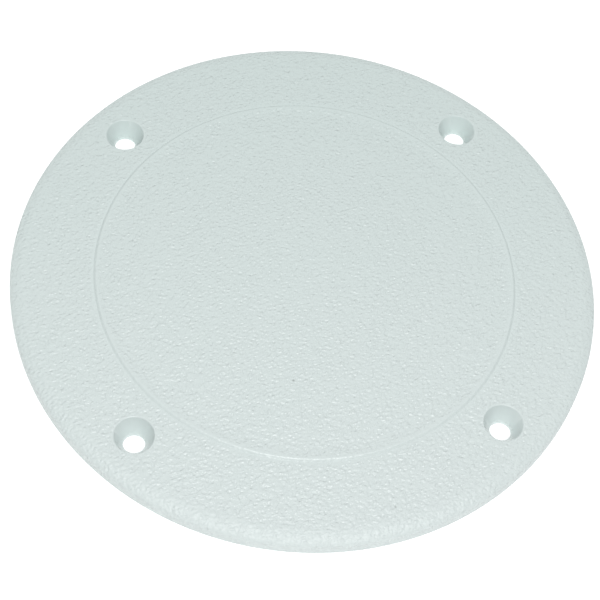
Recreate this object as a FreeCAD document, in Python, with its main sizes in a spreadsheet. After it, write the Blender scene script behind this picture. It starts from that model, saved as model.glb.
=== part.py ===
import FreeCAD, Part
import math
import os
import Sketcher

# Deck inspection plate: one round moulded cover plate, screwed down on a deck with four countersunk screws.
# Frame: origin on the deck plane under the plate's centre, +Z up, screws on the diagonals. Lengths in mm.

NODE = "deck_plate"
SHEET = "Sizes"

# Sizes of the plate, each one set here only
SIZES = {
    # outer form
    "plate_radius": 71.45,
    "rim_corner_height": 3.95,
    "rim_corner_round": 1.3,
    "shoulder_run": 2.45,
    "shoulder_height": 5.0,
    "shoulder_round": 5.0,
    # flange, rising a little from the shoulder in to the step's foot
    "flange_width": 19.98,
    "flange_rise": 0.5,
    # step up to the raised middle, with a faint lip round it
    "step_height": 0.5,
    "step_run": 0.6,
    "step_top_round": 0.6,
    "lip_width": 2.4,
    "lip_height": 0.25,
    "lip_inner_round": 12.0,
    # shallow crown of the middle
    "crown_rise": 0.9,
    # screw holes, set in from the rim
    "screw_inset": 10.8,
    "first_screw_angle": 45.0,
    "screw_count": 4.0,
    "screw_hole_radius": 2.62,
    "screw_head_radius": 4.75,
    "screw_cone_angle": 60.0,
    "cone_foot_round": 1.0,
    "screw_mouth_round": 0.3,
    # moulded underside
    "wall_thickness": 2.4,
    "seat_width": 3.0,
    "ring_rib_thickness": 2.0,
    "ring_rib_clearance": 0.6,
    "boss_wall": 1.85,
}

# Distance by which cutting outlines reach past the material
OVERCUT = 2.0

# Least volume that a feature has to add or remove, in cubic mm
LEAST_CHANGE = 0.1


class Size:
    """A length that keeps the formula it came from, so that a sketch stays bound to the sheet."""

    def __init__(self, value, formula):
        self.value = value
        self.formula = formula

    def __add__(self, other):
        return Size(self.value + other.value, "%s + %s" % (self.formula, other.formula))

    def __sub__(self, other):
        return Size(self.value - other.value, "%s - (%s)" % (self.formula, other.formula))

    def __mul__(self, other):
        return Size(self.value * other.value, "(%s) * (%s)" % (self.formula, other.formula))

    def __truediv__(self, other):
        return Size(self.value / other.value, "(%s) / (%s)" % (self.formula, other.formula))


def size(name):
    return Size(SIZES[name], "%s.%s" % (SHEET, name))


def fixed(value):
    return Size(value, str(value))


def half_angle_tangent(angle):
    return Size(math.tan(math.radians(angle.value / 2.0)), "tan((%s) / 2 * 1 deg)" % angle.formula)


ZERO = fixed(0.0)
TWO = fixed(2.0)


def make_sheet(doc):
    sheet = doc.addObject("Spreadsheet::Sheet", SHEET)
    for row, (name, value) in enumerate(SIZES.items(), start=1):
        sheet.set("A%d" % row, name)
        sheet.set("B%d" % row, str(value))
        sheet.setAlias("B%d" % row, name)
    return sheet


# Heights and radii that follow from the sizes
SHOULDER_RADIUS = size("plate_radius") - size("shoulder_run")
STEP_FOOT_RADIUS = size("plate_radius") - size("flange_width")
STEP_FOOT_HEIGHT = size("shoulder_height") + size("flange_rise")
CREST_RADIUS = STEP_FOOT_RADIUS - size("step_run")
CREST_HEIGHT = STEP_FOOT_HEIGHT + size("step_height")
DISC_RADIUS = CREST_RADIUS - size("lip_width")
DISC_HEIGHT = CREST_HEIGHT - size("lip_height")
CENTRE_HEIGHT = DISC_HEIGHT + size("crown_rise")
CORE_RADIUS = size("plate_radius") - size("seat_width")
RIB_INNER_RADIUS = CREST_RADIUS - size("ring_rib_thickness") / TWO
RIB_OUTER_RADIUS = CREST_RADIUS + size("ring_rib_thickness") / TWO
SCREW_CIRCLE_RADIUS = size("plate_radius") - size("screw_inset")
FLANGE_RUN = size("flange_width") - size("shoulder_run")
SCREW_RUN = size("screw_inset") - size("shoulder_run")
SCREW_TOP_HEIGHT = size("shoulder_height") + size("flange_rise") * (SCREW_RUN / FLANGE_RUN)
CONE_SLOPE = half_angle_tangent(size("screw_cone_angle"))
CONE_DEPTH = (size("screw_head_radius") - size("screw_hole_radius")) / CONE_SLOPE
BOSS_RADIUS = size("screw_head_radius") + size("boss_wall")
BOSS_HEIGHT = size("shoulder_height") - size("wall_thickness") / TWO


def origin_plane(body, role):
    for feature in body.Origin.OriginFeatures:
        if feature.Role == role:
            return feature
    raise RuntimeError("no origin feature " + role)


def new_sketch(body, name, role):
    sketch = body.newObject("Sketcher::SketchObject", name)
    sketch.AttachmentSupport = [(origin_plane(body, role), "")]
    sketch.MapMode = "FlatFace"
    return sketch


def bind(sketch, index, length):
    """Binds a sketch dimension to its formula."""
    sketch.setExpression("Constraints[%d]" % index, length.formula)


def place_point(sketch, geometry, position, x, y):
    """Dimensions a point of the sketch from the sketch's origin."""
    for kind, length in (("DistanceX", x), ("DistanceY", y)):
        if length is ZERO:
            axis = -2 if kind == "DistanceX" else -1
            sketch.addConstraint(Sketcher.Constraint("PointOnObject", geometry, position, axis))
        else:
            index = sketch.addConstraint(Sketcher.Constraint(kind, -1, 1, geometry, position, length.value))
            bind(sketch, index, length)


def unit(a, b):
    direction = b - a
    return direction / direction.Length


def add_line(sketch, a, b):
    return sketch.addGeometry(Part.LineSegment(a, b), False)


def add_arc(sketch, centre, radius, start, end):
    """Adds the arc from one point to the other and says which of its ends each point is."""
    angles = [math.atan2(p.y - centre.y, p.x - centre.x) for p in (start, end)]
    turn = (angles[1] - angles[0]) % (2.0 * math.pi)
    circle = Part.Circle(centre, FreeCAD.Vector(0, 0, 1), radius)
    if turn < math.pi:
        return sketch.addGeometry(Part.ArcOfCircle(circle, angles[0], angles[0] + turn), False), 1, 2
    back = 2.0 * math.pi - turn
    return sketch.addGeometry(Part.ArcOfCircle(circle, angles[1], angles[1] + back), False), 2, 1


def corner_arc(before, corner, after, radius):
    """Centre and ends of the arc that rounds a corner between two straight edges."""
    first = unit(corner, before)
    second = unit(corner, after)
    half = first.getAngle(second) / 2.0
    reach = radius / math.tan(half)
    bisector = first + second
    centre = corner + bisector / bisector.Length * (radius / math.sin(half))
    return centre, corner + first * reach, corner + second * reach


def add_outline(sketch, corners):
    """Draws straight edges through corners (x, y, round), rounds them and dimensions every corner.

    Returns the edges between one corner and the next. The first and the last corner are plain ends.
    """
    points = [FreeCAD.Vector(x.value, y.value, 0) for x, y, _ in corners]
    arcs = {}
    for k in range(1, len(corners) - 1):
        if corners[k][2] is not None:
            arcs[k] = corner_arc(points[k - 1], points[k], points[k + 1], corners[k][2].value)
    edges = []
    for k in range(len(points) - 1):
        start = arcs[k][2] if k in arcs else points[k]
        end = arcs[k + 1][1] if k + 1 in arcs else points[k + 1]
        edges.append(add_line(sketch, start, end))
    for k in range(1, len(corners) - 1):
        x, y, rounding = corners[k]
        if rounding is None:
            sketch.addConstraint(Sketcher.Constraint("Coincident", edges[k - 1], 2, edges[k], 1))
            place_point(sketch, edges[k], 1, x, y)
            continue
        centre, start, end = arcs[k]
        arc, first, last = add_arc(sketch, centre, rounding.value, start, end)
        sketch.addConstraint(Sketcher.Constraint("Tangent", edges[k - 1], 2, arc, first))
        sketch.addConstraint(Sketcher.Constraint("Tangent", arc, last, edges[k], 1))
        bind(sketch, sketch.addConstraint(Sketcher.Constraint("Radius", arc, rounding.value)), rounding)
        mark = sketch.addGeometry(Part.Point(points[k]), True)
        sketch.addConstraint(Sketcher.Constraint("PointOnObject", mark, 1, edges[k - 1]))
        sketch.addConstraint(Sketcher.Constraint("PointOnObject", mark, 1, edges[k]))
        place_point(sketch, mark, 1, x, y)
    return edges


def dome_blend(outer, corner, dome_centre, dome_radius, radius):
    """Centre and touching points of the arc that rounds the corner between a straight edge and a dome."""
    along = unit(outer, corner)
    normal = FreeCAD.Vector(along.y, -along.x, 0)
    found = []
    for side in (normal, -normal):
        for reach in (dome_radius + radius, dome_radius - radius):
            start = outer + side * radius - dome_centre
            middle = start.dot(along)
            root = middle ** 2 - start.dot(start) + reach ** 2
            if root < 0:
                continue
            for run in (-middle - math.sqrt(root), -middle + math.sqrt(root)):
                centre = dome_centre + start + along * run
                touch_edge = outer + along * run
                touch_dome = dome_centre + unit(dome_centre, centre) * dome_radius
                if 0 < run < (corner - outer).Length and 0 < touch_dome.x < corner.x:
                    found.append(((touch_edge - corner).Length, centre, touch_edge, touch_dome))
    return min(found, key=lambda candidate: candidate[0])[1:]


def add_dome(sketch, edge, corner, apex_height, rounding):
    """Ends an outline with a shallow dome: an arc about the axis, rounded where it meets the last edge."""
    edge_end = FreeCAD.Vector(corner[0].value, corner[1].value, 0)
    apex = FreeCAD.Vector(0, apex_height.value, 0)
    rise = apex.y - edge_end.y
    dome_radius = (edge_end.x ** 2 + rise ** 2) / (2.0 * rise)
    dome_centre = apex - FreeCAD.Vector(0, dome_radius, 0)
    outer = sketch.Geometry[edge].StartPoint
    centre, touch_edge, touch_dome = dome_blend(outer, edge_end, dome_centre, dome_radius, rounding.value)
    sketch.moveGeometry(edge, 2, touch_edge)
    blend, blend_first, blend_last = add_arc(sketch, centre, rounding.value, touch_edge, touch_dome)
    dome, dome_first, dome_last = add_arc(sketch, dome_centre, dome_radius, touch_dome, apex)
    sketch.addConstraint(Sketcher.Constraint("Tangent", edge, 2, blend, blend_first))
    sketch.addConstraint(Sketcher.Constraint("Tangent", blend, blend_last, dome, dome_first))
    bind(sketch, sketch.addConstraint(Sketcher.Constraint("Radius", blend, rounding.value)), rounding)
    sketch.addConstraint(Sketcher.Constraint("PointOnObject", dome, 3, -2))
    place_point(sketch, dome, dome_last, ZERO, apex_height)
    mark = sketch.addGeometry(Part.Point(edge_end), True)
    sketch.addConstraint(Sketcher.Constraint("PointOnObject", mark, 1, edge))
    sketch.addConstraint(Sketcher.Constraint("PointOnObject", mark, 1, dome))
    place_point(sketch, mark, 1, corner[0], corner[1])
    return dome, dome_last


def close_on_axis(sketch, last_end, first_edge):
    """Closes an outline along the axis, from its last edge's end (edge, position) to its first edge."""
    axis = add_line(sketch, sketch.getPoint(*last_end), sketch.getPoint(first_edge, 1))
    sketch.addConstraint(Sketcher.Constraint("Coincident", *last_end, axis, 1))
    sketch.addConstraint(Sketcher.Constraint("Coincident", axis, 2, first_edge, 1))
    return axis


def check_sketch(doc, sketch):
    """A sketch that is not fully dimensioned could change shape by itself."""
    doc.recompute()
    if sketch.solve() != 0 or not sketch.FullyConstrained:
        raise RuntimeError("sketch %s is not fully dimensioned" % sketch.Name)


def plate_outline(sketch):
    """Section of the plate, filled down to the deck: rim, shoulder, flange, step, lip and crown."""
    corners = [
        (ZERO, ZERO, None),
        (size("plate_radius"), ZERO, None),
        (size("plate_radius"), size("rim_corner_height"), size("rim_corner_round")),
        (SHOULDER_RADIUS, size("shoulder_height"), size("shoulder_round")),
        (STEP_FOOT_RADIUS, STEP_FOOT_HEIGHT, None),
        (CREST_RADIUS, CREST_HEIGHT, size("step_top_round")),
        (DISC_RADIUS, DISC_HEIGHT, None),
    ]
    edges = add_outline(sketch, corners)
    place_point(sketch, edges[0], 1, ZERO, ZERO)
    disc_edge = (DISC_RADIUS, DISC_HEIGHT)
    dome, apex = add_dome(sketch, edges[-1], disc_edge, CENTRE_HEIGHT, size("lip_inner_round"))
    close_on_axis(sketch, (dome, apex), edges[0])


def core_outline(sketch):
    """Section of the hollow under the plate, with the ring rib left standing as a notch."""
    wall = size("wall_thickness")
    below = fixed(-OVERCUT)
    corners = [
        (ZERO, below, None),
        (CORE_RADIUS, below, None),
        (CORE_RADIUS, size("shoulder_height") - wall, None),
        (RIB_OUTER_RADIUS, STEP_FOOT_HEIGHT - wall, None),
        (RIB_OUTER_RADIUS, size("ring_rib_clearance"), None),
        (RIB_INNER_RADIUS, size("ring_rib_clearance"), None),
        (RIB_INNER_RADIUS, DISC_HEIGHT - wall, None),
        (ZERO, DISC_HEIGHT - wall, None),
    ]
    edges = add_outline(sketch, corners)
    place_point(sketch, edges[0], 1, ZERO, below)
    place_point(sketch, edges[-1], 2, ZERO, DISC_HEIGHT - wall)
    close_on_axis(sketch, (edges[-1], 2), edges[0])


def screw_hole_outline(sketch):
    """Half section of a screw hole: straight hole and the cone for the screw's head."""
    axis = SCREW_CIRCLE_RADIUS
    below = fixed(-OVERCUT)
    above = CREST_HEIGHT + fixed(OVERCUT)
    hole_side = axis + size("screw_hole_radius")
    head_side = axis + size("screw_head_radius")
    corners = [
        (axis, below, None),
        (hole_side, below, None),
        (hole_side, SCREW_TOP_HEIGHT - CONE_DEPTH, size("cone_foot_round")),
        (head_side + (above - SCREW_TOP_HEIGHT) * CONE_SLOPE, above, None),
        (axis, above, None),
    ]
    edges = add_outline(sketch, corners)
    place_point(sketch, edges[0], 1, axis, below)
    place_point(sketch, edges[-1], 2, axis, above)
    middle = close_on_axis(sketch, (edges[-1], 2), edges[0])
    turning_axis = sketch.addGeometry(sketch.Geometry[middle], True)
    sketch.addConstraint(Sketcher.Constraint("Coincident", middle, 1, turning_axis, 1))
    sketch.addConstraint(Sketcher.Constraint("Coincident", middle, 2, turning_axis, 2))


def boss_outline(sketch):
    """Round boss that carries a screw hole down to the deck."""
    centre = FreeCAD.Vector(SCREW_CIRCLE_RADIUS.value, 0, 0)
    circle = Part.Circle(centre, FreeCAD.Vector(0, 0, 1), BOSS_RADIUS.value)
    edge = sketch.addGeometry(circle, False)
    bind(sketch, sketch.addConstraint(Sketcher.Constraint("Radius", edge, BOSS_RADIUS.value)), BOSS_RADIUS)
    place_point(sketch, edge, 3, SCREW_CIRCLE_RADIUS, ZERO)


def turn_to_first_screw(sketch, axis):
    """Turns a sketch about the plate's axis, so that it lies at the first screw."""
    turn = FreeCAD.Rotation(axis, SIZES["first_screw_angle"])
    sketch.AttachmentOffset = FreeCAD.Placement(FreeCAD.Vector(0, 0, 0), turn)
    sketch.setExpression("AttachmentOffset.Rotation.Angle", size("first_screw_angle").formula + " * 1 deg")


def volume_after(doc, feature, before, removes):
    """Recomputes, and makes sure that the feature added or removed material as it should."""
    doc.recompute()
    volume = feature.Shape.Volume
    if (volume < before) != removes or abs(volume - before) < LEAST_CHANGE:
        raise RuntimeError("feature %s left the volume at %.1f" % (feature.Name, volume))
    return volume


def repeat_round_axis(body, name, original):
    pattern = body.newObject("PartDesign::PolarPattern", name)
    pattern.Originals = [original]
    pattern.Axis = (origin_plane(body, "Z_Axis"), [""])
    pattern.Angle = 360.0
    pattern.Occurrences = int(SIZES["screw_count"])
    pattern.setExpression("Occurrences", size("screw_count").formula)
    body.Tip = pattern
    return pattern


def mouth_edges(shape):
    """Names of the edges where the screw holes open on the flange: closed, on top and off the plate's axis."""
    names = []
    for number, edge in enumerate(shape.Edges, start=1):
        box = edge.BoundBox
        on_top = box.ZMin > BOSS_HEIGHT.value
        off_axis = math.hypot(box.Center.x, box.Center.y) > SCREW_CIRCLE_RADIUS.value / 2.0
        if on_top and off_axis and edge.isClosed():
            names.append("Edge%d" % number)
    return names


def make_deck_plate(doc):
    body = doc.addObject("PartDesign::Body", "DeckPlate")
    body.Label = NODE
    section = new_sketch(body, "PlateSection", "XZ_Plane")
    plate_outline(section)
    check_sketch(doc, section)
    plate = body.newObject("PartDesign::Revolution", "Plate")
    plate.Profile = section
    plate.ReferenceAxis = (section, ["V_Axis"])
    plate.Angle = 360.0
    volume = volume_after(doc, plate, 0.0, False)

    core_section = new_sketch(body, "CoreSection", "XZ_Plane")
    core_outline(core_section)
    check_sketch(doc, core_section)
    core = body.newObject("PartDesign::Groove", "Core")
    core.Profile = core_section
    core.ReferenceAxis = (core_section, ["V_Axis"])
    core.Angle = 360.0
    volume = volume_after(doc, core, volume, True)

    boss_sketch = new_sketch(body, "BossOutline", "XY_Plane")
    turn_to_first_screw(boss_sketch, FreeCAD.Vector(0, 0, 1))
    boss_outline(boss_sketch)
    check_sketch(doc, boss_sketch)
    boss = body.newObject("PartDesign::Pad", "Boss")
    boss.Profile = boss_sketch
    boss.Length = BOSS_HEIGHT.value
    boss.setExpression("Length", BOSS_HEIGHT.formula)
    volume = volume_after(doc, boss, volume, False)
    bosses = repeat_round_axis(body, "Bosses", boss)
    volume = volume_after(doc, bosses, volume, False)

    hole_section = new_sketch(body, "ScrewHoleSection", "XZ_Plane")
    turn_to_first_screw(hole_section, FreeCAD.Vector(0, 1, 0))
    screw_hole_outline(hole_section)
    check_sketch(doc, hole_section)
    hole = body.newObject("PartDesign::Groove", "ScrewHole")
    hole.Profile = hole_section
    hole.ReferenceAxis = (hole_section, ["Axis0"])
    hole.Angle = 360.0
    volume = volume_after(doc, hole, volume, True)
    holes = repeat_round_axis(body, "ScrewHoles", hole)
    volume = volume_after(doc, holes, volume, True)

    edges = mouth_edges(holes.Shape)
    if len(edges) != int(SIZES["screw_count"]):
        raise RuntimeError("found %d screw hole mouths" % len(edges))
    rounds = body.newObject("PartDesign::Fillet", "MouthRounds")
    rounds.Base = (holes, edges)
    rounds.Radius = SIZES["screw_mouth_round"]
    rounds.setExpression("Radius", size("screw_mouth_round").formula)
    body.Tip = rounds
    volume_after(doc, rounds, volume, True)
    return body


def check_document(doc, body):
    for item in doc.Objects:
        if "Invalid" in item.State or "Error" in item.State:
            raise RuntimeError("object %s failed" % item.Name)
    shape = body.Shape
    if shape.isNull() or not shape.isValid() or len(shape.Solids) != 1:
        raise RuntimeError("%s is not one valid solid" % body.Label)


def main():
    doc = FreeCAD.newDocument("DeckInspectionPlate")
    make_sheet(doc)
    doc.recompute()
    body = make_deck_plate(doc)
    doc.recompute()
    check_document(doc, body)
    os.makedirs("parts", exist_ok=True)
    body.Shape.exportStep("parts/%s.step" % NODE)
    box = body.Shape.optimalBoundingBox(True, False)
    print("%s: %.2f x %.2f x %.2f mm" % (NODE, box.XLength, box.YLength, box.ZLength))
    print("volume %.1f cm3" % (body.Shape.Volume / 1000.0))


main()
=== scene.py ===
import math

import bpy
from mathutils import Matrix, Vector


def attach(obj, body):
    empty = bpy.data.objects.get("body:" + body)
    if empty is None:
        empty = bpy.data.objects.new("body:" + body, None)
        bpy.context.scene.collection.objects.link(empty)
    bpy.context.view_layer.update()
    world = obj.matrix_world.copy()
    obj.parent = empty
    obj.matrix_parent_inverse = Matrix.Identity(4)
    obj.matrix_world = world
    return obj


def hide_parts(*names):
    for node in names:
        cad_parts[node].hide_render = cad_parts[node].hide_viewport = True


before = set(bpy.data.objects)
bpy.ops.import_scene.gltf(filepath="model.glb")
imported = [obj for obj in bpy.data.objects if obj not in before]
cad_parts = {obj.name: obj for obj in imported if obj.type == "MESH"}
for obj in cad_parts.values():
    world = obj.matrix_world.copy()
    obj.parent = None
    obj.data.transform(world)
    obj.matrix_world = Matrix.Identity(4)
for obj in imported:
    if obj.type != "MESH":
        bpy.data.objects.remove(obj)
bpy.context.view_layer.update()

MM = 0.001
TINY = 1e-6

# Plate, in mm: outer form
PLATE_RADIUS = 71.45
FOOT_ROUND = 0.4
RIM_CORNER_HEIGHT = 3.95
RIM_CORNER_ROUND = 1.3
SHOULDER_RADIUS = 69.0
SHOULDER_HEIGHT = 5.0
SHOULDER_ROUND = 5.0
FLANGE_RISE = 0.5
STEP_FOOT_RADIUS = 51.47
STEP_FOOT_ROUND = 0.05
STEP_HEIGHT = 0.5
STEP_RUN = 0.6
STEP_TOP_ROUND = 0.6
LIP_WIDTH = 2.4
LIP_HEIGHT = 0.25
LIP_INNER_ROUND = 12.0
CROWN_RISE = 0.9

# Screw holes, in mm and degrees
SCREW_CIRCLE_RADIUS = 60.65
SCREW_ANGLES = (45.0, 135.0, 225.0, 315.0)
HOLE_RADIUS = 2.62
HEAD_RADIUS = 4.75
CONE_ANGLE = 60.0
CONE_FOOT_ROUND = 1.0
MOUTH_ROUND = 0.3

# Underside, in mm
WALL = 2.4
SEAT_WIDTH = 3.0
CORE_ROUND = 0.6
RIB_HALF = 1.0
RIB_CLEARANCE = 0.6
BOSS_WALL = 1.85

# Sizes that follow from these
FLANGE_FOOT_HEIGHT = SHOULDER_HEIGHT + FLANGE_RISE
FLANGE_SLOPE = FLANGE_RISE / (SHOULDER_RADIUS - STEP_FOOT_RADIUS)
CREST_RADIUS = STEP_FOOT_RADIUS - STEP_RUN
CREST_HEIGHT = FLANGE_FOOT_HEIGHT + STEP_HEIGHT
DISC_RADIUS = CREST_RADIUS - LIP_WIDTH
DISC_HEIGHT = CREST_HEIGHT - LIP_HEIGHT
CENTRE_HEIGHT = DISC_HEIGHT + CROWN_RISE
CORE_RADIUS = PLATE_RADIUS - SEAT_WIDTH
BOSS_RADIUS = HEAD_RADIUS + BOSS_WALL

# Mesh divisions
COLUMNS = 480
ARC_STEPS = 8
ARC_MARGIN = 0.1
CROWN_ROWS = 24
INNER_CEILING_ROWS = 12
PATCH_RINGS = 5
SHARP_ANGLE = 40.0

# Gaps left in the revolved skin round each screw hole: radii in mm, and only above the given height
TOP_PATCH = {
    "columns": 16,
    "rows": 20,
    "low": SCREW_CIRCLE_RADIUS - 6.0,
    "high": SCREW_CIRCLE_RADIUS + 6.0,
    "above": WALL,
}
CEILING_PATCH = {
    "columns": 20,
    "rows": 16,
    "low": SCREW_CIRCLE_RADIUS - 7.55,
    "high": SCREW_CIRCLE_RADIUS + 7.05,
    "above": RIB_CLEARANCE + 0.1,
}

# Places of the two materials in the plate's list
GRAINED = 0
SMOOTH = 1

# Colours of the plastic, linear, with painted light in them: the near side is a little more neutral, as
# where more of the warm soft light falls
PLASTIC_FAR_WITH_PAINTED_SHADE = (0.588, 0.676, 0.660)
PLASTIC_NEAR_WITH_PAINTED_LIGHT = (0.606, 0.664, 0.658)
CLOUD_SCALE = 45.0
CLOUD_DETAIL = 3.0
CLOUD_SHARE = 0.25

# Two faint specks in the upper face, as in the photo: place and radius in mm
SPECKS = (
    ((-5.5, -30.5, 6.3), 0.27),
    ((15.15, -63.05, 5.3), 0.28),
)
SPECK_COLOUR = (0.36, 0.40, 0.39)
SPECK_BLUR = 0.5

# Grain and gloss
GRAIN_DEPTH = 0.48
SMOOTH_DEPTH = 0.004
GRAIN_SCALE = 1250.0
GRAIN_DETAIL = 1.0
GRAIN_FINE_SHARE = 0.4
GRAIN_STRETCH = (1.10, 0.86, 1.0)
GRAIN_TURN = 18.0
ROUGHNESS = (0.32, 0.38)
PLASTIC_IOR = 1.5

# Edges along which the finish differs, in mm
STEP_EDGE = {
    "radius": STEP_FOOT_RADIUS - STEP_RUN / 2.0,
    "height": FLANGE_FOOT_HEIGHT,
    "half_width": STEP_RUN / 2.0,
    "reach": STEP_RUN * 2.0,
}
SHOULDER_EDGE = {
    "radius": SHOULDER_RADIUS + 0.6,
    "height": SHOULDER_HEIGHT,
    "half_width": 1.2,
    "reach": 2.6,
}

# Factors on the grain's depth and on the roughness along those edges
STEP_GRAIN = 0.3
SHOULDER_GRAIN = 0.85
SHOULDER_ROUGHNESS = 1.35

# Floor and surroundings. Sizes in metres.
FLOOR_SIZE = 8.0
FLOOR_DROP = 0.00002
FLOOR_SHADE = (0.90, 0.92)
FLOOR_NOISE_SCALE = 300.0
FLOOR_ROUGHNESS = 0.9
FLOOR_GLOW = 0.24
WHITE = (1.0, 1.0, 1.0, 1.0)
ROOM_LIGHT = 0.355
BACKDROP_LIGHT = 1.015
SIDE_DIMMING = 0.10

# Soft light: angles in degrees as the camera's are given, sizes in metres, power in watts
LIGHT_AZIMUTH = -4.0
LIGHT_ELEVATION = 62.0
LIGHT_DISTANCE = 0.9
LIGHT_WIDTH = 0.4
LIGHT_POWER = 6.25

# Camera, from the fit of the plate's outline, step line and screw holes. Angles in degrees, lengths in mm.
CAMERA_AZIMUTH = -11.77
CAMERA_ELEVATION = 57.77
CAMERA_ROLL = 8.55
CAMERA_DISTANCE = 407.6
CAMERA_TARGET = (-1.52, -5.01, 0.7)
CAMERA_LENS = 100.07
CAMERA_SENSOR = 36.0


def flange_height(radius):
    """Height of the flange's upper face at a distance from the plate's axis."""
    return SHOULDER_HEIGHT + FLANGE_SLOPE * (SHOULDER_RADIUS - radius)


def ceiling_height(radius):
    """Height of the hollow's ceiling under the flange."""
    return flange_height(radius) - WALL


def inner_ceiling_height(radius):
    """Height of the hollow's ceiling inside the ring rib, the same everywhere."""
    return DISC_HEIGHT - WALL


def level(height):
    """A level surface, for use where a surface's height is asked by radius."""
    return lambda radius: height


def rounded(corners):
    """Points along a line of corners (x, y, round), with an arc at each rounded one.

    A point just past both ends of each arc keeps the smooth shading of the arc off the flats.
    """
    spots = [Vector(corner[:2]) for corner in corners]
    rounds = [corner[2] for corner in corners]
    trims = [0.0] * len(corners)
    for k, radius in enumerate(rounds):
        if radius:
            half = (spots[k - 1] - spots[k]).angle(spots[k + 1] - spots[k]) / 2.0
            trims[k] = radius / math.tan(half)
    points = []
    for k, radius in enumerate(rounds):
        if not radius:
            points.append(spots[k])
            continue
        before = (spots[k - 1] - spots[k]).normalized()
        after = (spots[k + 1] - spots[k]).normalized()
        half = before.angle(after) / 2.0
        centre = spots[k] + (before + after).normalized() * (radius / math.sin(half))
        start = spots[k] + before * trims[k] - centre
        end = spots[k] + after * trims[k] - centre
        first = math.atan2(start.y, start.x)
        turn = (math.atan2(end.y, end.x) - first + math.pi) % (2.0 * math.pi) - math.pi
        room_before = (spots[k] - spots[k - 1]).length - trims[k] - trims[k - 1]
        room_after = (spots[k + 1] - spots[k]).length - trims[k] - trims[k + 1]
        points.append(centre + start + before * min(ARC_MARGIN, room_before / 3.0))
        for step in range(ARC_STEPS + 1):
            angle = first + turn * step / ARC_STEPS
            points.append(centre + Vector((math.cos(angle), math.sin(angle))) * radius)
        points.append(centre + end + after * min(ARC_MARGIN, room_after / 3.0))
    return points


def crown_corners():
    """Points of the shallow spherical crown, from the plate's axis out to its edge, the edge left out."""
    sphere = (DISC_RADIUS ** 2 + CROWN_RISE ** 2) / (2.0 * CROWN_RISE)
    radii = [DISC_RADIUS * k / CROWN_ROWS for k in range(CROWN_ROWS)]
    return [(r, CENTRE_HEIGHT - sphere + math.sqrt(sphere ** 2 - r ** 2), 0) for r in radii]


def spaced(low, high, count, height):
    """Evenly spaced points on a straight slope, both ends included."""
    radii = [low + (high - low) * k / count for k in range(count + 1)]
    return [(r, height(r), 0) for r in radii]


def top_corners():
    """Upper skin from the middle out to the rim and down to the seat under it."""
    corners = crown_corners()
    corners.append((DISC_RADIUS, DISC_HEIGHT, LIP_INNER_ROUND))
    corners.append((CREST_RADIUS, CREST_HEIGHT, STEP_TOP_ROUND))
    corners.append((STEP_FOOT_RADIUS, FLANGE_FOOT_HEIGHT, STEP_FOOT_ROUND))
    corners += spaced(TOP_PATCH["low"], TOP_PATCH["high"], TOP_PATCH["rows"], flange_height)
    corners.append((SHOULDER_RADIUS, SHOULDER_HEIGHT, SHOULDER_ROUND))
    corners.append((PLATE_RADIUS, RIM_CORNER_HEIGHT, RIM_CORNER_ROUND))
    corners.append((PLATE_RADIUS, 0.0, FOOT_ROUND))
    corners.append((CORE_RADIUS, 0.0, 0))
    return corners


def core_corners():
    """Underside from the seat in to the middle: outer hollow, ring rib and inner hollow."""
    outer = CREST_RADIUS + RIB_HALF
    inner = CREST_RADIUS - RIB_HALF
    corners = [(CORE_RADIUS, 0.0, 0), (CORE_RADIUS, ceiling_height(CORE_RADIUS), CORE_ROUND)]
    corners += spaced(CEILING_PATCH["high"], CEILING_PATCH["low"], CEILING_PATCH["rows"], ceiling_height)
    corners.append((outer, ceiling_height(outer), CORE_ROUND))
    corners += [(outer, RIB_CLEARANCE, 0), (inner, RIB_CLEARANCE, 0)]
    corners.append((inner, inner_ceiling_height(inner), CORE_ROUND))
    corners += spaced(inner - 2.0 * CORE_ROUND, 0.0, INNER_CEILING_ROWS, inner_ceiling_height)
    return corners


def patch_columns(screw, patch):
    """The columns from one side of a screw hole's gap to the other, both included."""
    middle = round(screw / 360.0 * COLUMNS)
    half = patch["columns"] // 2
    return [(middle + offset) % COLUMNS for offset in range(-half, half + 1)]


def in_patch(point, patch):
    """Tells whether a point of a profile lies in the ring that holds the gaps."""
    return patch["low"] - TINY <= point.x <= patch["high"] + TINY and point.y > patch["above"]


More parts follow.
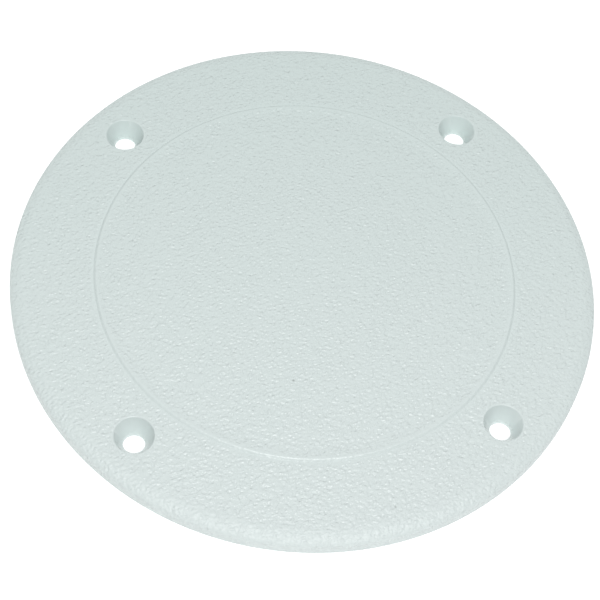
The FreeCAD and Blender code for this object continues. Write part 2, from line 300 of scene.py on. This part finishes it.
class Skin:
    """Collects the plate's points and faces."""

    def __init__(self):
        self.points = []
        self.faces = []
        self.finishes = []

    def add_point(self, x, y, height):
        self.points.append((x, y, height))
        return len(self.points) - 1

    def add_face(self, corners, finish):
        distinct = list(dict.fromkeys(corners))
        if len(distinct) > 2:
            self.faces.append(distinct)
            self.finishes.append(finish)

    def add_row(self, radius, height):
        """A row of points round the plate's axis, or the same point throughout where it is on the axis."""
        if radius < TINY:
            return [self.add_point(0.0, 0.0, height)] * COLUMNS
        angles = [2.0 * math.pi * k / COLUMNS for k in range(COLUMNS)]
        return [self.add_point(radius * math.cos(a), radius * math.sin(a), height) for a in angles]

    def revolve(self, profile, finish, patch, first_row=None):
        """Turns a profile round the axis and leaves out the cells in each screw hole's gap.

        first_row is a row of points that another profile has already made.
        """
        rows = [first_row or self.add_row(profile[0].x, profile[0].y)]
        rows += [self.add_row(point.x, point.y) for point in profile[1:]]
        skipped = set()
        for screw in SCREW_ANGLES:
            skipped.update(patch_columns(screw, patch)[:-1])
        for upper in range(len(rows) - 1):
            inside = in_patch(profile[upper], patch) and in_patch(profile[upper + 1], patch)
            for column in range(COLUMNS):
                if inside and column in skipped:
                    continue
                after = (column + 1) % COLUMNS
                a, b = rows[upper], rows[upper + 1]
                self.add_face([a[column], a[after], b[after], b[column]], finish)
        return rows

    def patch_border(self, profile, rows, patch, screw):
        """The points round the gap left for a screw hole, in order."""
        chosen = [k for k, point in enumerate(profile) if in_patch(point, patch)]
        chosen.sort(key=lambda k: profile[k].x)
        columns = patch_columns(screw, patch)
        inner = [rows[chosen[0]][c] for c in columns]
        right = [rows[k][columns[-1]] for k in chosen[1:]]
        outer = [rows[chosen[-1]][c] for c in columns[-2::-1]]
        left = [rows[k][columns[0]] for k in chosen[-2:0:-1]]
        return inner + right + outer + left

    def hole_ring(self, screw, radius, count, surface, drop=0.0):
        """A ring of points round a screw's axis, at a height measured from a surface of the plate."""
        turn = math.radians(screw)
        centre = Vector((SCREW_CIRCLE_RADIUS * math.cos(turn), SCREW_CIRCLE_RADIUS * math.sin(turn)))
        ring = []
        for k in range(count):
            # starts at the gap's corner nearest the plate's middle and keeps the order of its border
            angle = turn + math.radians(225.0) - 2.0 * math.pi * k / count
            spot = centre + Vector((math.cos(angle), math.sin(angle))) * radius
            ring.append(self.add_point(spot.x, spot.y, surface(spot.length) + drop))
        return ring

    def fill_patch(self, border, circle, surface, finish):
        """Joins the border of a gap to the circle inside it with rings of faces."""
        rings = [border]
        for ring in range(1, PATCH_RINGS):
            made = []
            for outer, inner in zip(border, circle):
                outside = Vector(self.points[outer][:2])
                inside = Vector(self.points[inner][:2])
                spot = outside.lerp(inside, ring / PATCH_RINGS)
                made.append(self.add_point(spot.x, spot.y, surface(spot.length)))
            rings.append(made)
        rings.append(circle)
        self.join(rings, finish)

    def join(self, rings, finish):
        for a, b in zip(rings, rings[1:]):
            for k in range(len(a)):
                after = (k + 1) % len(a)
                self.add_face([a[k], a[after], b[after], b[k]], finish)


def add_screw_hole(skin, screw, top_border, ceiling_border):
    """Rounded mouth, cone, straight hole and boss, between the flange above and the ceiling below."""
    count = len(top_border)
    top = flange_height(SCREW_CIRCLE_RADIUS)
    cone_depth = (HEAD_RADIUS - HOLE_RADIUS) / math.tan(math.radians(CONE_ANGLE / 2.0))
    section = rounded([
        (HEAD_RADIUS + 2.0 * MOUTH_ROUND, 0.0, 0),
        (HEAD_RADIUS, 0.0, MOUTH_ROUND),
        (HOLE_RADIUS, -cone_depth, CONE_FOOT_ROUND),
        (HOLE_RADIUS, -top, 0),
    ])[1:]
    # the mouth follows the slope of the flange, the rest is level
    mouth_rows = ARC_STEPS + 2
    rings = [skin.hole_ring(screw, p.x, count, flange_height, p.y) for p in section[:mouth_rows]]
    rings += [skin.hole_ring(screw, p.x, count, level(top), p.y) for p in section[mouth_rows:]]
    mouth = rings[0]
    rings.append(skin.hole_ring(screw, BOSS_RADIUS, count, level(0.0)))
    boss_top = skin.hole_ring(screw, BOSS_RADIUS, count, ceiling_height)
    rings.append(boss_top)
    skin.join(rings, SMOOTH)
    skin.fill_patch(top_border, mouth, flange_height, GRAINED)
    skin.fill_patch(ceiling_border, boss_top, ceiling_height, SMOOTH)


def build_plate_mesh():
    """The whole plate as one closed skin, in metres."""
    skin = Skin()
    top_profile = rounded(top_corners())
    core_profile = rounded(core_corners())
    top_rows = skin.revolve(top_profile, GRAINED, TOP_PATCH)
    core_rows = skin.revolve(core_profile, SMOOTH, CEILING_PATCH, first_row=top_rows[-1])
    for screw in SCREW_ANGLES:
        top_border = skin.patch_border(top_profile, top_rows, TOP_PATCH, screw)
        ceiling_border = skin.patch_border(core_profile, core_rows, CEILING_PATCH, screw)
        add_screw_hole(skin, screw, top_border, ceiling_border)
    mesh = bpy.data.meshes.new("deck_plate_skin")
    mesh.from_pydata([Vector(point) * MM for point in skin.points], [], skin.faces)
    for polygon, finish in zip(mesh.polygons, skin.finishes):
        polygon.material_index = finish
        polygon.use_smooth = True
    return mesh


def sharpen_edges(mesh):
    """Marks the edges where the skin turns sharply, so that they stay crisp."""
    mesh.update()
    normals = {}
    for polygon in mesh.polygons:
        for key in polygon.edge_keys:
            normals.setdefault(key, []).append(polygon.normal.copy())
    limit = math.radians(SHARP_ANGLE)
    for edge in mesh.edges:
        pair = normals.get(edge.key, [])
        if len(pair) == 2 and pair[0].length > 0 and pair[1].length > 0:
            edge.use_edge_sharp = pair[0].angle(pair[1], 0.0) > limit


def add_node(tree, kind, inputs, **settings):
    """A new shader node. Its inputs are other nodes' outputs or plain values."""
    node = tree.nodes.new(kind)
    for name, value in settings.items():
        setattr(node, name, value)
    for name, value in inputs.items():
        if isinstance(value, bpy.types.NodeSocket):
            tree.links.new(value, node.inputs[name])
        else:
            node.inputs[name].default_value = value
    return node


def new_material(name):
    material = bpy.data.materials.new(name)
    material.use_nodes = True
    return material, material.node_tree, material.node_tree.nodes["Principled BSDF"]


def tint_with_painted_light(tree, place, clouds):
    """A tint with a painted light cast that drifts from the far side to the near side, more neutral where
    more of the warm soft light falls, with faint random clouds in it.
    """
    parts = add_node(tree, "ShaderNodeSeparateXYZ", {"Vector": place})
    # painted light: the colour shifts from far to near as if more of the warm soft light fell on the near
    # side
    painted_light_drift = add_node(tree, "ShaderNodeMapRange", {
        "Value": parts.outputs["Y"],
        "From Min": PLATE_RADIUS * MM,
        "From Max": -PLATE_RADIUS * MM,
    })
    share = add_node(tree, "ShaderNodeMix", {
        "Factor": CLOUD_SHARE,
        "A": painted_light_drift.outputs["Result"],
        "B": clouds,
    })
    tint = add_node(tree, "ShaderNodeMix", {
        "Factor": share.outputs["Result"],
        "A": (*PLASTIC_FAR_WITH_PAINTED_SHADE, 1.0),
        "B": (*PLASTIC_NEAR_WITH_PAINTED_LIGHT, 1.0),
    }, data_type="RGBA")
    return tint.outputs["Result"]


def speckled(tree, place, colour):
    """A colour with the dark specks in it."""
    for spot, radius in SPECKS:
        away = add_node(tree, "ShaderNodeVectorMath", {0: place, 1: Vector(spot) * MM}, operation="DISTANCE")
        within = add_node(tree, "ShaderNodeMapRange", {
            "Value": away.outputs["Value"],
            "From Min": radius * (1.0 + SPECK_BLUR) * MM,
            "From Max": radius * (1.0 - SPECK_BLUR) * MM,
        })
        speck = add_node(tree, "ShaderNodeMix", {
            "Factor": within.outputs["Result"],
            "A": colour,
            "B": (*SPECK_COLOUR, 1.0),
        }, data_type="RGBA")
        colour = speck.outputs["Result"]
    return colour


def factor_along(tree, reach, edge, factor):
    """A value that is the given factor along one of the plate's edges and 1 away from it."""
    edge_reach = math.hypot(edge["radius"], edge["height"]) * MM
    beyond = add_node(tree, "ShaderNodeMath", {0: reach, 1: edge_reach}, operation="SUBTRACT")
    beside = add_node(tree, "ShaderNodeMath", {0: beyond.outputs["Value"]}, operation="ABSOLUTE")
    fade = add_node(tree, "ShaderNodeMapRange", {
        "Value": beside.outputs["Value"],
        "From Min": edge["half_width"] * MM,
        "From Max": edge["reach"] * MM,
        "To Min": factor,
    })
    return fade.outputs["Result"]


def grained(tree, place, reach, depth):
    """Normals of the moulded grain: low rounded bumps, shallower along the step and the shoulder."""
    stretch = add_node(tree, "ShaderNodeMapping", {
        "Vector": place,
        "Rotation": (0.0, 0.0, math.radians(GRAIN_TURN)),
        "Scale": GRAIN_STRETCH,
    }, vector_type="TEXTURE")
    grain = add_node(tree, "ShaderNodeTexNoise", {
        "Vector": stretch.outputs["Vector"],
        "Scale": GRAIN_SCALE,
        "Detail": GRAIN_DETAIL,
        "Roughness": GRAIN_FINE_SHARE,
    })
    share = add_node(tree, "ShaderNodeMath", {
        0: factor_along(tree, reach, STEP_EDGE, STEP_GRAIN),
        1: factor_along(tree, reach, SHOULDER_EDGE, SHOULDER_GRAIN),
    }, operation="MULTIPLY")
    distance = add_node(tree, "ShaderNodeMath", {
        0: share.outputs["Value"],
        1: depth * MM,
    }, operation="MULTIPLY")
    bump = add_node(tree, "ShaderNodeBump", {
        "Strength": 1.0,
        "Distance": distance.outputs["Value"],
        "Height": grain.outputs["Fac"],
    })
    return bump.outputs["Normal"]


def dulled(tree, clouds, reach):
    """Roughness that varies a little over the plate and is higher along the shoulder."""
    gloss = add_node(tree, "ShaderNodeMapRange", {
        "Value": clouds,
        "To Min": ROUGHNESS[0],
        "To Max": ROUGHNESS[1],
    })
    rough = add_node(tree, "ShaderNodeMath", {
        0: gloss.outputs["Result"],
        1: factor_along(tree, reach, SHOULDER_EDGE, SHOULDER_ROUGHNESS),
    }, operation="MULTIPLY")
    return rough.outputs["Value"]


def make_plastic(name, grain_depth):
    """White moulded plastic with a grain of the given depth in mm."""
    material, tree, shader = new_material(name)
    place = tree.nodes.new("ShaderNodeTexCoord").outputs["Object"]
    reach = add_node(tree, "ShaderNodeVectorMath", {0: place}, operation="LENGTH").outputs["Value"]
    noise = add_node(tree, "ShaderNodeTexNoise", {
        "Vector": place,
        "Scale": CLOUD_SCALE,
        "Detail": CLOUD_DETAIL,
    })
    clouds = noise.outputs["Fac"]
    # the base colour carries the tint's painted light cast, its random clouds and the specks
    colour = speckled(tree, place, tint_with_painted_light(tree, place, clouds))
    tree.links.new(colour, shader.inputs["Base Color"])
    tree.links.new(grained(tree, place, reach, grain_depth), shader.inputs["Normal"])
    tree.links.new(dulled(tree, clouds, reach), shader.inputs["Roughness"])
    shader.inputs["IOR"].default_value = PLASTIC_IOR
    return material


def make_floor():
    """White paper floor, lit so brightly that it reads as plain white."""
    material, tree, shader = new_material("floor_paper")
    noise = add_node(tree, "ShaderNodeTexNoise", {"Scale": FLOOR_NOISE_SCALE})
    shade = add_node(tree, "ShaderNodeMapRange", {
        "Value": noise.outputs["Fac"],
        "To Min": FLOOR_SHADE[0],
        "To Max": FLOOR_SHADE[1],
    })
    tree.links.new(shade.outputs["Result"], shader.inputs["Base Color"])
    shader.inputs["Roughness"].default_value = FLOOR_ROUGHNESS
    shader.inputs["Emission Color"].default_value = WHITE
    shader.inputs["Emission Strength"].default_value = FLOOR_GLOW
    bpy.ops.mesh.primitive_plane_add(size=FLOOR_SIZE, location=(0.0, 0.0, -FLOOR_DROP))
    floor = bpy.context.object
    floor.name = "floor"
    floor.data.materials.append(material)


def add_world():
    """Studio surroundings: a dim room, brighter towards the backdrop behind and darker at its sides."""
    world = bpy.data.worlds.new("studio")
    world.use_nodes = True
    tree = world.node_tree
    background = tree.nodes["Background"]
    direction = tree.nodes.new("ShaderNodeTexCoord").outputs["Generated"]
    parts = add_node(tree, "ShaderNodeSeparateXYZ", {"Vector": direction})
    strength = add_node(tree, "ShaderNodeMapRange", {
        "Value": parts.outputs["Y"],
        "To Min": ROOM_LIGHT,
        "To Max": BACKDROP_LIGHT,
    })
    sideways = add_node(tree, "ShaderNodeMath", {0: parts.outputs["X"]}, operation="ABSOLUTE")
    dimmed = add_node(tree, "ShaderNodeMath", {
        0: sideways.outputs["Value"],
        1: -SIDE_DIMMING,
        2: strength.outputs["Result"],
    }, operation="MULTIPLY_ADD")
    tree.links.new(dimmed.outputs["Value"], background.inputs["Strength"])
    background.inputs["Color"].default_value = WHITE
    bpy.context.scene.world = world


def towards(azimuth, elevation):
    """Unit vector to a compass angle and height in degrees. Azimuth 0 is the near side, -Y."""
    azimuth = math.radians(azimuth)
    elevation = math.radians(elevation)
    return Vector((
        math.sin(azimuth) * math.cos(elevation),
        -math.cos(azimuth) * math.cos(elevation),
        math.sin(elevation),
    ))


def add_softbox():
    """A round soft light that looks at the plate's middle."""
    back = towards(LIGHT_AZIMUTH, LIGHT_ELEVATION)
    data = bpy.data.lights.new("front", "AREA")
    data.shape = "DISK"
    data.size = LIGHT_WIDTH
    data.energy = LIGHT_POWER
    light = bpy.data.objects.new("front", data)
    light.location = back * LIGHT_DISTANCE
    light.rotation_euler = back.to_track_quat("Z", "Y").to_euler()
    bpy.context.scene.collection.objects.link(light)


def add_camera():
    """The photo's camera, turned about its own axis by the roll."""
    azimuth = math.radians(CAMERA_AZIMUTH)
    roll = math.radians(CAMERA_ROLL)
    back = towards(CAMERA_AZIMUTH, CAMERA_ELEVATION)
    level_right = Vector((math.cos(azimuth), math.sin(azimuth), 0.0))
    upright = back.cross(level_right)
    right = level_right * math.cos(roll) + upright * math.sin(roll)
    top = upright * math.cos(roll) - level_right * math.sin(roll)
    turn = Matrix((right, top, back)).transposed()
    place = (Vector(CAMERA_TARGET) + back * CAMERA_DISTANCE) * MM
    data = bpy.data.cameras.new("camera")
    data.lens = CAMERA_LENS
    data.sensor_width = CAMERA_SENSOR
    camera = bpy.data.objects.new("camera", data)
    camera.matrix_world = Matrix.Translation(place) @ turn.to_4x4()
    bpy.context.scene.collection.objects.link(camera)
    bpy.context.scene.camera = camera


def add_plate():
    """The plate in its two finishes, in place of the solid."""
    mesh = build_plate_mesh()
    sharpen_edges(mesh)
    mesh.materials.append(make_plastic("plastic_grained", GRAIN_DEPTH))
    mesh.materials.append(make_plastic("plastic_smooth", SMOOTH_DEPTH))
    plate = bpy.data.objects.new("plate", mesh)
    bpy.context.scene.collection.objects.link(plate)
    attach(plate, "root")
    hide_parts("deck_plate")


add_plate()
make_floor()
add_world()
add_softbox()
add_camera()
bpy.context.scene.view_settings.view_transform = "Standard"
